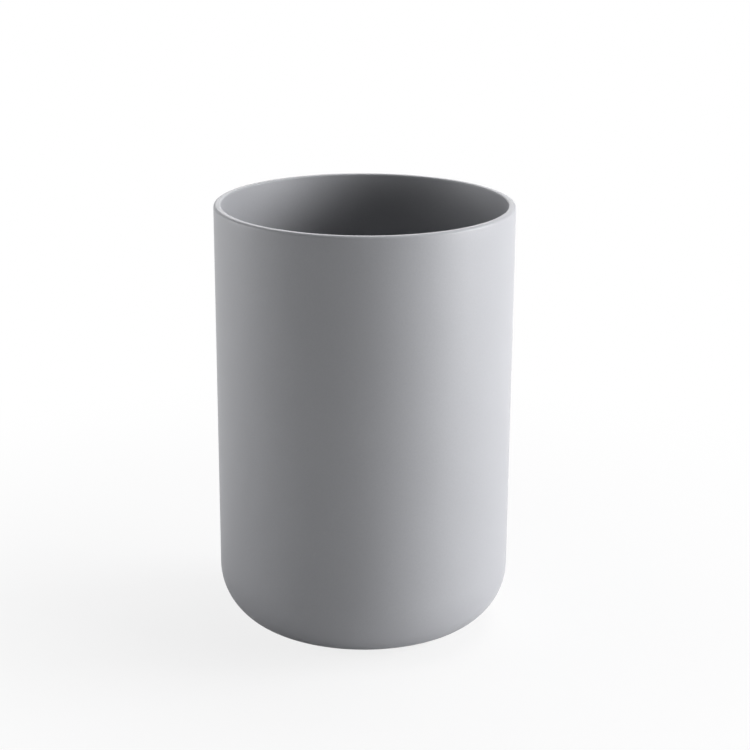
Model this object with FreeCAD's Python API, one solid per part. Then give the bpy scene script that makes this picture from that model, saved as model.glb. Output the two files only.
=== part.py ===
import FreeCAD, Part

import math
import os

# Bathroom tumbler, in millimetres: a moulded cup that stands on a soft ring keyed into its underside.
# The origin is on the cup's axis, on the surface that it stands on, and +Z runs up the axis.

# Cup, outside
rim_diameter = 74.0
cup_height = 107.7
wall_draft_degrees = 0.38
foot_corner_radius = 15.2

# Cup, walls
rim_wall = 1.8
foot_wall = 2.4
floor_thickness = 3.0
lip_outer_round_share = 0.4
lip_inner_round_share = 0.22

# Cup, underside: a land beside the ring's groove on each side, and a recess with the moulding gate in it
outer_land = 1.5
inner_land = 2.5
land_edge_round = 0.3
recess_depth = 0.8
gate_dimple_diameter = 6.0
gate_dimple_depth = 0.5
gate_stub_diameter = 1.4
gate_stub_height = 0.3

# Non-slip ring, and the dovetail groove that holds it
ring_width = 4.0
ring_stand = 0.4
ring_edge_round = 0.25
ring_side_clearance = 0.05
groove_depth = 1.4
groove_flare_degrees = 8.0
grip_channel_count = 2
grip_channel_width = 0.6
grip_channel_depth = 0.25

# The axis of revolution, and angles in degrees
Z_AXIS = FreeCAD.Vector(0, 0, 1)
RIGHT_ANGLE = 90
FULL_TURN = 360

# Heights of the foot's land, the rim, the inner floor and the groove's ceiling
foot_z = ring_stand
rim_z = foot_z + cup_height
floor_z = foot_z + floor_thickness
groove_z = foot_z + groove_depth

# The outside wall at the rim, and as if it ran straight on down to the foot
rim_radius = rim_diameter / 2
wall_slope = math.tan(math.radians(wall_draft_degrees))
foot_radius = rim_radius - cup_height * wall_slope


def tangent_length(rounding, corner_angle):
    """How far from a corner its rounding starts."""
    return rounding / math.tan(corner_angle / 2)


# The rounded foot corner runs out into a flat, and the ring sits on that flat, just inside the outer land
foot_corner_angle = math.radians(RIGHT_ANGLE + wall_draft_degrees)
flat_radius = foot_radius - tangent_length(foot_corner_radius, foot_corner_angle)
ring_outer_radius = flat_radius - outer_land - ring_side_clearance
ring_inner_radius = ring_outer_radius - ring_width
groove_flare = groove_depth * math.tan(math.radians(groove_flare_degrees))


def point(radius, height):
    return FreeCAD.Vector(radius, 0, height)


def corner_run(before, corner, after, rounding):
    """The points where a corner's rounding starts, is half way and ends. A sharp corner gives one point."""
    if rounding == 0:
        return [corner]
    to_before = (before - corner).normalize()
    to_after = (after - corner).normalize()
    corner_angle = to_before.getAngle(to_after)
    start = tangent_length(rounding, corner_angle)
    half_way = rounding / math.sin(corner_angle / 2) - rounding
    towards_centre = (to_before + to_after).normalize()
    return [
        corner + to_before * start,
        corner + towards_centre * half_way,
        corner + to_after * start,
    ]


def rounded_face(outline):
    """A flat section from (radius, height, rounding) corners in order, closed from the last to the first."""
    corners = [point(radius, height) for radius, height, _ in outline]
    runs = []
    for index, (_, _, rounding) in enumerate(outline):
        after = corners[(index + 1) % len(corners)]
        runs.append(corner_run(corners[index - 1], corners[index], after, rounding))
    edges = []
    for index, run in enumerate(runs):
        if len(run) > 1:
            edges.append(Part.Arc(*run).toShape())
        next_run = runs[(index + 1) % len(runs)]
        edges.append(Part.LineSegment(run[-1], next_run[0]).toShape())
    return Part.Face(Part.Wire(edges))


def turned(outline):
    """A solid of revolution about the tumbler's axis."""
    return rounded_face(outline).revolve(point(0, 0), Z_AXIS, FULL_TURN)


def gate_outline():
    """The underside's middle: the gate's stub in its dimple, then the recess out to the inner land."""
    recess_z = foot_z + recess_depth
    dimple_z = recess_z + gate_dimple_depth
    stub_z = dimple_z - gate_stub_height
    stub_radius = gate_stub_diameter / 2
    dimple_radius = gate_dimple_diameter / 2
    recess_radius = ring_inner_radius - ring_side_clearance - inner_land
    return [
        (0, stub_z, 0),
        (stub_radius, stub_z, 0),
        (stub_radius, dimple_z, 0),
        (dimple_radius, dimple_z, 0),
        (dimple_radius, recess_z, 0),
        (recess_radius, recess_z, land_edge_round),
        (recess_radius, foot_z, land_edge_round),
    ]


def groove_outline():
    """The ring's groove, wider at its ceiling than at its mouth."""
    mouth_inner = ring_inner_radius - ring_side_clearance
    mouth_outer = ring_outer_radius + ring_side_clearance
    return [
        (mouth_inner, foot_z, 0),
        (mouth_inner - groove_flare, groove_z, 0),
        (mouth_outer + groove_flare, groove_z, 0),
        (mouth_outer, foot_z, 0),
    ]


def cup_body():
    """The cup in one moulding: rounded foot, drafted wall that thins to the rim, and a softly rounded lip."""
    inner_floor_radius = foot_radius + floor_thickness * wall_slope - foot_wall
    shell_outline = [
        (foot_radius, foot_z, foot_corner_radius),
        (rim_radius, rim_z, rim_wall * lip_outer_round_share),
        (rim_radius - rim_wall, rim_z, rim_wall * lip_inner_round_share),
        (inner_floor_radius, floor_z, foot_corner_radius - foot_wall),
        (0, floor_z, 0),
    ]
    return turned(gate_outline() + groove_outline() + shell_outline)


def grip_channels_outline():
    """Shallow channels round the ring's tread, evenly spaced, from the inside out."""
    pitch = ring_width / (grip_channel_count + 1)
    outline = []
    for number in range(1, grip_channel_count + 1):
        middle = ring_inner_radius + number * pitch
        near_side = middle - grip_channel_width / 2
        far_side = middle + grip_channel_width / 2
        outline += [
            (near_side, 0, 0),
            (near_side, grip_channel_depth, 0),
            (far_side, grip_channel_depth, 0),
            (far_side, 0, 0),
        ]
    return outline


def non_slip_ring():
    """The soft ring: a tread that stands proud of the foot, and a dovetail that fills the groove."""
    inner_edge = [(ring_inner_radius, 0, ring_edge_round)]
    outer_edge_and_key = [
        (ring_outer_radius, 0, ring_edge_round),
        (ring_outer_radius, foot_z, 0),
        (ring_outer_radius + groove_flare, groove_z, 0),
        (ring_inner_radius - groove_flare, groove_z, 0),
        (ring_inner_radius, foot_z, 0),
    ]
    return turned(inner_edge + grip_channels_outline() + outer_edge_and_key)


def main():
    os.makedirs("parts", exist_ok=True)
    pieces = {"cup_body": cup_body(), "non_slip_ring": non_slip_ring()}
    for name, shape in pieces.items():
        print(name, shape.ShapeType, "valid", shape.isValid(), "volume", round(shape.Volume, 2))
        shape.exportStep(f"parts/{name}.step")


main()
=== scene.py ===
import math

import bmesh
import bpy
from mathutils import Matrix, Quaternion, Vector


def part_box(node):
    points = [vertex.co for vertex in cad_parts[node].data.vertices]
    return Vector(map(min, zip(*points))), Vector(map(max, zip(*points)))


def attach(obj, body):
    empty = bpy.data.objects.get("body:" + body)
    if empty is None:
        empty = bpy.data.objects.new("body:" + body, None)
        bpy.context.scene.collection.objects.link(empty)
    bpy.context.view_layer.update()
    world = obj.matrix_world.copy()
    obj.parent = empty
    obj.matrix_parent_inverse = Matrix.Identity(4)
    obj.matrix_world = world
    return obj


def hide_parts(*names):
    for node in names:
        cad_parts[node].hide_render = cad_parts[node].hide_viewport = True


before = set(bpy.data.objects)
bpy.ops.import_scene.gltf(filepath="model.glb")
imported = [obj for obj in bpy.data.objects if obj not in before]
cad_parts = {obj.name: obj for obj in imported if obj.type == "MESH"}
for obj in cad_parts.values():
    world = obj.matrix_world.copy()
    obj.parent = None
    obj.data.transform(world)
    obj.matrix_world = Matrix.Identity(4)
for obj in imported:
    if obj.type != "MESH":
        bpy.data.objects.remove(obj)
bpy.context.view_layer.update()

# A matt grey bathroom tumbler and the soft ring under its foot, in metres, in the frame's own axes.
MM = 0.001

# Heights that the frame gives
cup_low, cup_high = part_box("cup_body")
ring_low, ring_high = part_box("non_slip_ring")
foot_z = cup_low.z
rim_z = cup_high.z
groove_z = ring_high.z
tread_z = ring_low.z

# Cup
rim_radius = 37.0 * MM
wall_draft = math.radians(0.38)
foot_corner_round = 15.2 * MM
rim_wall = 1.8 * MM
foot_wall = 2.4 * MM
floor_thickness = 3.0 * MM
lip_outer_round_share = 0.4
lip_inner_round_share = 0.22

# Cup, underside
outer_land = 1.5 * MM
inner_land = 2.5 * MM
land_edge_round = 0.3 * MM
recess_depth = 0.8 * MM
gate_dimple_radius = 3.0 * MM
gate_dimple_depth = 0.5 * MM
gate_stub_radius = 0.7 * MM
gate_stub_height = 0.3 * MM

# Ring and its dovetail groove
ring_width = 4.0 * MM
ring_edge_round = 0.25 * MM
ring_side_clearance = 0.05 * MM
groove_flare_angle = math.radians(8.0)
grip_channel_count = 2
grip_channel_width = 0.6 * MM
grip_channel_depth = 0.25 * MM

# Radii and roundings worked out from them
lip_outer_round = lip_outer_round_share * rim_wall
lip_inner_round = lip_inner_round_share * rim_wall
foot_radius = rim_radius - (rim_z - foot_z) * math.tan(wall_draft)
flat_radius = foot_radius - foot_corner_round / math.tan(math.pi / 4 + wall_draft / 2)
ring_outer_radius = flat_radius - outer_land - ring_side_clearance
ring_inner_radius = ring_outer_radius - ring_width
groove_flare = (groove_z - foot_z) * math.tan(groove_flare_angle)

# How finely the turned pieces and their roundings are divided
TURN_STEPS = 192
FOOT_STEPS = 24
INNER_FOOT_STEPS = 22
LIP_OUTER_STEPS = 10
LIP_INNER_STEPS = 8
LAND_EDGE_STEPS = 4
RING_EDGE_STEPS = 5
LONGEST_RUN = 4.0 * MM
MERGE_DISTANCE = 0.001 * MM
SHARP_ANGLE = math.radians(30)

# Noise textures: where their values mostly lie, and how many finer layers they have
NOISE_LOW = 0.3
NOISE_HIGH = 0.7
NOISE_DETAIL = 1

# Coat on the cup
COAT_COLOUR = "#A4A5A8"
COAT_IOR = 1.5
COAT_GRAIN = 0.4 * MM
COAT_GRAIN_DEPTH = 0.0012 * MM
COAT_SPECKLE = 0.02
COAT_ROUGHNESS = 0.45
COAT_ROUGHNESS_SPREAD = 0.03
SPRAY_DRIFT = 30 * MM
SPRAY_DEPTH = 0.012

# Ring
RING_COLOUR = "#696A6C"
RING_IOR = 1.52
RING_GRAIN = 0.3 * MM
RING_GRAIN_DEPTH = 0.006 * MM
RING_SPECKLE = 0.08
RING_ROUGHNESS = 0.68
RING_ROUGHNESS_SPREAD = 0.05
TREAD_DUST = 0.12

# Camera, at the photograph's viewing angle: it looks at the aim point from the front
CAMERA_AIM = Vector((2.7, 0, 64.2)) * MM
CAMERA_DISTANCE = 583.8 * MM
CAMERA_ELEVATION = math.radians(16.42)
CAMERA_ROLL = math.radians(0.28)
CAMERA_LENS_MM = 112.1
CAMERA_CLIP_START = 10 * MM

# Floor: the camera sees a share of white over the paper near the cup, and plain white beyond the reach
PAPER_COLOUR = "#F0F0F0"
FLOOR_HALF = 6.0
FLOOR_SHADOW_REACH = 40 * MM
FLOOR_WHITE_REACH = 220 * MM
FLOOR_WHITE_SHARE = 0.82

# Surroundings and lamps, and where the lamps point
WHITE = "#FFFFFF"
LAMP_COLOUR = "#FDFDFF"
LAMP_AIM = Vector((0, 0, 54)) * MM


def linear(hex_colour):
    """An sRGB hex colour as linear red, green, blue and alpha."""
    shares = [int(hex_colour[start:start + 2], 16) / 255 for start in (1, 3, 5)]
    return [s / 12.92 if s <= 0.04045 else ((s + 0.055) / 1.055) ** 2.4 for s in shares] + [1]


def add_node(tree, kind, inputs=None, **settings):
    """Adds one node with its settings, and sets or links its inputs."""
    node = tree.nodes.new(kind)
    for name, value in settings.items():
        setattr(node, name, value)
    for socket, value in (inputs or {}).items():
        if isinstance(value, bpy.types.NodeSocket):
            tree.links.new(value, node.inputs[socket])
        else:
            node.inputs[socket].default_value = value
    return node


def turned_piece(name, corners, closed, material):
    """A piece turned about the axis from (radius, height, rounding, steps) corners of its section."""
    section = bmesh.new()
    verts = [section.verts.new((radius, 0, height)) for radius, height, _, _ in corners]
    following = verts[1:] + verts[:1] if closed else verts[1:]
    for start, end in zip(verts, following):
        section.edges.new((start, end))
    for vert, (_, _, rounding, steps) in zip(verts, corners):
        if rounding:
            tangent = rounding * math.tan(vert.calc_edge_angle() / 2)
            bmesh.ops.bevel(section, geom=[vert], offset=tangent, offset_type="OFFSET", segments=steps,
                            profile=0.5, affect="VERTICES", material=-1, clamp_overlap=False)
    for edge in list(section.edges):
        cuts = int(edge.calc_length() / LONGEST_RUN)
        if cuts:
            bmesh.ops.subdivide_edges(section, edges=[edge], cuts=cuts)
    bmesh.ops.spin(section, geom=section.verts[:] + section.edges[:], cent=(0, 0, 0), axis=(0, 0, 1),
                   angle=2 * math.pi, steps=TURN_STEPS, use_merge=True)
    bmesh.ops.remove_doubles(section, verts=section.verts, dist=MERGE_DISTANCE)
    bmesh.ops.recalc_face_normals(section, faces=section.faces)
    # The spin's faces come in another order each run, so faces and edges are put in their points' order
    section.verts.index_update()
    count = len(section.verts)
    for parts in (section.faces, section.edges):
        parts.sort(key=lambda p: count * min(v.index for v in p.verts) + max(v.index for v in p.verts))
    for face in section.faces:
        face.smooth = True
    for edge in section.edges:
        edge.smooth = edge.calc_face_angle(0) < SHARP_ANGLE
    mesh = bpy.data.meshes.new(name)
    section.to_mesh(mesh)
    section.free()
    mesh.materials.append(material)
    piece = bpy.data.objects.new(name, mesh)
    bpy.context.scene.collection.objects.link(piece)
    return piece


def soft_touch_coat():
    """Moulded ABS under a sprayed soft-touch coat."""
    # The eye sees an even matt grey with a broad, soft sheen and no mirror image in it. Close up it has
    # a grain like fine suede, and a faint drift in depth where passes of the spray overlap. The real grain
    # is about 0.1 mm, too fine to show, so it is drawn four times as coarse.
    material = bpy.data.materials.new("soft_touch_coated_ABS")
    material.use_nodes = True
    tree = material.node_tree
    place = add_node(tree, "ShaderNodeTexCoord").outputs["Object"]
    grain = add_node(tree, "ShaderNodeTexNoise", {
        "Vector": place, "Scale": 1 / COAT_GRAIN, "Detail": NOISE_DETAIL})
    drift = add_node(tree, "ShaderNodeTexNoise", {
        "Vector": place, "Scale": 1 / SPRAY_DRIFT, "Detail": NOISE_DETAIL})
    speckle = add_node(tree, "ShaderNodeMapRange", {
        "Value": grain.outputs["Fac"], "From Min": NOISE_LOW, "From Max": NOISE_HIGH,
        "To Min": 1 - COAT_SPECKLE, "To Max": 1 + COAT_SPECKLE})
    spray = add_node(tree, "ShaderNodeMapRange", {
        "Value": drift.outputs["Fac"], "From Min": NOISE_LOW, "From Max": NOISE_HIGH,
        "To Min": 1 - SPRAY_DEPTH, "To Max": 1 + SPRAY_DEPTH})
    depth = add_node(tree, "ShaderNodeMath", {0: speckle.outputs[0], 1: spray.outputs[0]},
                     operation="MULTIPLY")
    colour = add_node(tree, "ShaderNodeHueSaturation", {
        "Value": depth.outputs[0], "Color": linear(COAT_COLOUR)})
    matt = add_node(tree, "ShaderNodeMapRange", {
        "Value": grain.outputs["Fac"], "From Min": NOISE_LOW, "From Max": NOISE_HIGH,
        "To Min": COAT_ROUGHNESS - COAT_ROUGHNESS_SPREAD,
        "To Max": COAT_ROUGHNESS + COAT_ROUGHNESS_SPREAD})
    suede = add_node(tree, "ShaderNodeBump", {
        "Height": grain.outputs["Fac"], "Distance": COAT_GRAIN_DEPTH})
    surface = tree.nodes["Principled BSDF"]
    surface.inputs["IOR"].default_value = COAT_IOR
    tree.links.new(colour.outputs[0], surface.inputs["Base Color"])
    tree.links.new(matt.outputs[0], surface.inputs["Roughness"])
    tree.links.new(suede.outputs[0], surface.inputs["Normal"])
    return material


def ring_elastomer():
    """Thermoplastic elastomer, moulded in a spark-eroded tool."""
    # The eye sees a dark, dry grey that hardly shines: a fine pebbled grain from the mould, and a tread
    # that standing on shelves has dusted a little paler. The real grain is about 0.1 mm, too fine to show,
    # so it is drawn three times as coarse.
    material = bpy.data.materials.new("moulded_TPE")
    material.use_nodes = True
    tree = material.node_tree
    place = add_node(tree, "ShaderNodeTexCoord").outputs["Object"]
    grain = add_node(tree, "ShaderNodeTexNoise", {
        "Vector": place, "Scale": 1 / RING_GRAIN, "Detail": NOISE_DETAIL})
    height = add_node(tree, "ShaderNodeSeparateXYZ", {"Vector": place}).outputs["Z"]
    speckle = add_node(tree, "ShaderNodeMapRange", {
        "Value": grain.outputs["Fac"], "From Min": NOISE_LOW, "From Max": NOISE_HIGH,
        "To Min": 1 - RING_SPECKLE, "To Max": 1 + RING_SPECKLE})
    dust = add_node(tree, "ShaderNodeMapRange", {
        "Value": height, "From Min": tread_z, "From Max": foot_z,
        "To Min": 1 + TREAD_DUST, "To Max": 1}, interpolation_type="SMOOTHSTEP")
    depth = add_node(tree, "ShaderNodeMath", {0: speckle.outputs[0], 1: dust.outputs[0]},
                     operation="MULTIPLY")
    colour = add_node(tree, "ShaderNodeHueSaturation", {
        "Value": depth.outputs[0], "Color": linear(RING_COLOUR)})
    dry = add_node(tree, "ShaderNodeMapRange", {
        "Value": grain.outputs["Fac"], "From Min": NOISE_LOW, "From Max": NOISE_HIGH,
        "To Min": RING_ROUGHNESS - RING_ROUGHNESS_SPREAD,
        "To Max": RING_ROUGHNESS + RING_ROUGHNESS_SPREAD})
    pebble = add_node(tree, "ShaderNodeBump", {
        "Height": grain.outputs["Fac"], "Distance": RING_GRAIN_DEPTH})
    surface = tree.nodes["Principled BSDF"]
    surface.inputs["IOR"].default_value = RING_IOR
    tree.links.new(colour.outputs[0], surface.inputs["Base Color"])
    tree.links.new(dry.outputs[0], surface.inputs["Roughness"])
    tree.links.new(pebble.outputs[0], surface.inputs["Normal"])
    return material


def make_cup():
    """The cup in one moulding, from the gate in its underside round the wall to the middle of its floor."""
    recess_z = foot_z + recess_depth
    dimple_z = recess_z + gate_dimple_depth
    stub_z = dimple_z - gate_stub_height
    floor_z = foot_z + floor_thickness
    mouth_inner = ring_inner_radius - ring_side_clearance
    mouth_outer = ring_outer_radius + ring_side_clearance
    recess_radius = mouth_inner - inner_land
    inner_floor_radius = foot_radius + floor_thickness * math.tan(wall_draft) - foot_wall
    section = [
        (0, stub_z, 0, 0),
        (gate_stub_radius, stub_z, 0, 0),
        (gate_stub_radius, dimple_z, 0, 0),
        (gate_dimple_radius, dimple_z, 0, 0),
        (gate_dimple_radius, recess_z, 0, 0),
        (recess_radius, recess_z, land_edge_round, LAND_EDGE_STEPS),
        (recess_radius, foot_z, land_edge_round, LAND_EDGE_STEPS),
        (mouth_inner, foot_z, 0, 0),
        (mouth_inner - groove_flare, groove_z, 0, 0),
        (mouth_outer + groove_flare, groove_z, 0, 0),
        (mouth_outer, foot_z, 0, 0),
        (foot_radius, foot_z, foot_corner_round, FOOT_STEPS),
        (rim_radius, rim_z, lip_outer_round, LIP_OUTER_STEPS),
        (rim_radius - rim_wall, rim_z, lip_inner_round, LIP_INNER_STEPS),
        (inner_floor_radius, floor_z, foot_corner_round - foot_wall, INNER_FOOT_STEPS),
        (0, floor_z, 0, 0),
    ]
    cup = turned_piece("tumbler_cup", section, False, soft_touch_coat())
    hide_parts("cup_body")
    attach(cup, "root")


def make_ring():
    """The soft ring: a tread with grip channels round it, and a dovetail that fills the cup's groove."""
    pitch = ring_width / (grip_channel_count + 1)
    section = [(ring_inner_radius, tread_z, ring_edge_round, RING_EDGE_STEPS)]
    for number in range(1, grip_channel_count + 1):
        near_side = ring_inner_radius + number * pitch - grip_channel_width / 2
        far_side = near_side + grip_channel_width
        section += [
            (near_side, tread_z, 0, 0),
            (near_side, tread_z + grip_channel_depth, 0, 0),
            (far_side, tread_z + grip_channel_depth, 0, 0),
            (far_side, tread_z, 0, 0),
        ]
    section += [
        (ring_outer_radius, tread_z, ring_edge_round, RING_EDGE_STEPS),
        (ring_outer_radius, foot_z, 0, 0),
        (ring_outer_radius + groove_flare, groove_z, 0, 0),
        (ring_inner_radius - groove_flare, groove_z, 0, 0),
        (ring_inner_radius, foot_z, 0, 0),
    ]
    ring = turned_piece("foot_ring", section, True, ring_elastomer())
    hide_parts("non_slip_ring")
    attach(ring, "root")


def make_camera():
    """A long lens in front of the cup, a little above it."""
    back = Vector((0, -math.cos(CAMERA_ELEVATION), math.sin(CAMERA_ELEVATION)))
    camera = bpy.data.objects.new("camera", bpy.data.cameras.new("camera"))
    camera.data.lens = CAMERA_LENS_MM
    camera.data.clip_start = CAMERA_CLIP_START
    camera.location = CAMERA_AIM + back * CAMERA_DISTANCE
    camera.rotation_mode = "QUATERNION"
    camera.rotation_quaternion = (-back).to_track_quat("-Z", "Y") @ Quaternion((0, 0, 1), CAMERA_ROLL)
    bpy.context.scene.collection.objects.link(camera)
    bpy.context.scene.camera = camera


def ray_kinds(tree):
    """Two sockets: camera rays alone, and all rays that look at a surface, through mirrors and glass too."""
    path = add_node(tree, "ShaderNodeLightPath").outputs
    seeing = add_node(tree, "ShaderNodeMath", {0: path["Is Camera Ray"], 1: path["Is Glossy Ray"]},
                      operation="MAXIMUM")
    seeing = add_node(tree, "ShaderNodeMath", {0: seeing.outputs[0], 1: path["Is Transmission Ray"]},
                      operation="MAXIMUM")
    return path["Is Camera Ray"], seeing.outputs[0]


def make_floor():
    """A white paper floor: it takes the tumbler's soft shadow, and fades to plain white around it."""
    plane = bmesh.new()
    bmesh.ops.create_grid(plane, x_segments=1, y_segments=1, size=FLOOR_HALF)
    mesh = bpy.data.meshes.new("floor")
    plane.to_mesh(mesh)
    plane.free()
    material = bpy.data.materials.new("matt_white_paper")
    material.use_nodes = True
    tree = material.node_tree
    tree.nodes.clear()
    camera_ray, seeing_ray = ray_kinds(tree)
    place = add_node(tree, "ShaderNodeTexCoord").outputs["Object"]
    reach = add_node(tree, "ShaderNodeVectorMath", {0: place}, operation="LENGTH")
    near_share = add_node(tree, "ShaderNodeMath", {0: camera_ray, 1: FLOOR_WHITE_SHARE},
                          operation="MULTIPLY")
    white_share = add_node(tree, "ShaderNodeMapRange", {
        "Value": reach.outputs["Value"],
        "From Min": FLOOR_SHADOW_REACH,
        "From Max": FLOOR_WHITE_REACH,
        "To Min": near_share.outputs[0],
        "To Max": seeing_ray,
    }, interpolation_type="SMOOTHSTEP")
    paper = add_node(tree, "ShaderNodeBsdfDiffuse", {"Color": linear(PAPER_COLOUR)})
    white = add_node(tree, "ShaderNodeEmission", {"Color": linear(WHITE)})
    top = add_node(tree, "ShaderNodeMixShader", {
        0: white_share.outputs[0], 1: paper.outputs[0], 2: white.outputs[0]})
    beneath = add_node(tree, "ShaderNodeNewGeometry").outputs["Backfacing"]
    clear = add_node(tree, "ShaderNodeBsdfTransparent")
    both = add_node(tree, "ShaderNodeMixShader", {0: beneath, 1: top.outputs[0], 2: clear.outputs[0]})
    add_node(tree, "ShaderNodeOutputMaterial", {"Surface": both.outputs[0]})
    mesh.materials.append(material)
    floor = bpy.data.objects.new("floor", mesh)
    bpy.context.scene.collection.objects.link(floor)


def make_surroundings():
    """Plain white where the camera and reflections look, and no light of its own on matt surfaces."""
    world = bpy.data.worlds.new("white_surroundings")
    bpy.context.scene.world = world
    world.use_nodes = True
    tree = world.node_tree
    _, seeing_ray = ray_kinds(tree)
    tree.nodes["Background"].inputs["Color"].default_value = linear(WHITE)
    tree.links.new(seeing_ray, tree.nodes["Background"].inputs["Strength"])


def make_lamp(name, azimuth, elevation, distance, width, height, power):
    """A soft lamp aimed at the cup's middle. Azimuth 0 is the camera's side, and 90 is +X."""
    turn, rise = math.radians(azimuth), math.radians(elevation)
    back = Vector((math.sin(turn) * math.cos(rise), -math.cos(turn) * math.cos(rise), math.sin(rise)))
    lamp = bpy.data.lights.new(name, "AREA")
    lamp.shape = "RECTANGLE"
    lamp.size = width
    lamp.size_y = height
    lamp.energy = power
    lamp.color = linear(LAMP_COLOUR)[:3]
    stand = bpy.data.objects.new(name, lamp)
    stand.location = LAMP_AIM + back * distance
    stand.rotation_mode = "QUATERNION"
    stand.rotation_quaternion = (-back).to_track_quat("-Z", "Y")
    stand.visible_camera = False
    bpy.context.scene.collection.objects.link(stand)


def make_lights():
    """A softbox low on the right, one above it, one overhead, and pale cards on the left and behind."""
    make_lamp("key_softbox", azimuth=76, elevation=5, distance=0.7,
              width=0.45, height=0.45, power=5.3)
    make_lamp("upper_softbox", azimuth=96, elevation=20, distance=1.1,
              width=0.5, height=0.5, power=6.8)
    make_lamp("overhead_softbox", azimuth=120, elevation=70, distance=1.0,
              width=0.5, height=0.5, power=3.9)
    make_lamp("back_left_card", azimuth=252, elevation=4, distance=1.1,
              width=0.5, height=0.4, power=3.7)
    make_lamp("left_card", azimuth=272, elevation=14, distance=1.1,
              width=0.5, height=0.4, power=2.6)
    make_lamp("back_card", azimuth=180, elevation=22, distance=1.1,
              width=0.6, height=0.4, power=2.1)


make_cup()
make_ring()
make_camera()
make_floor()
make_surroundings()
make_lights()
bpy.context.scene.view_settings.view_transform = "Standard"
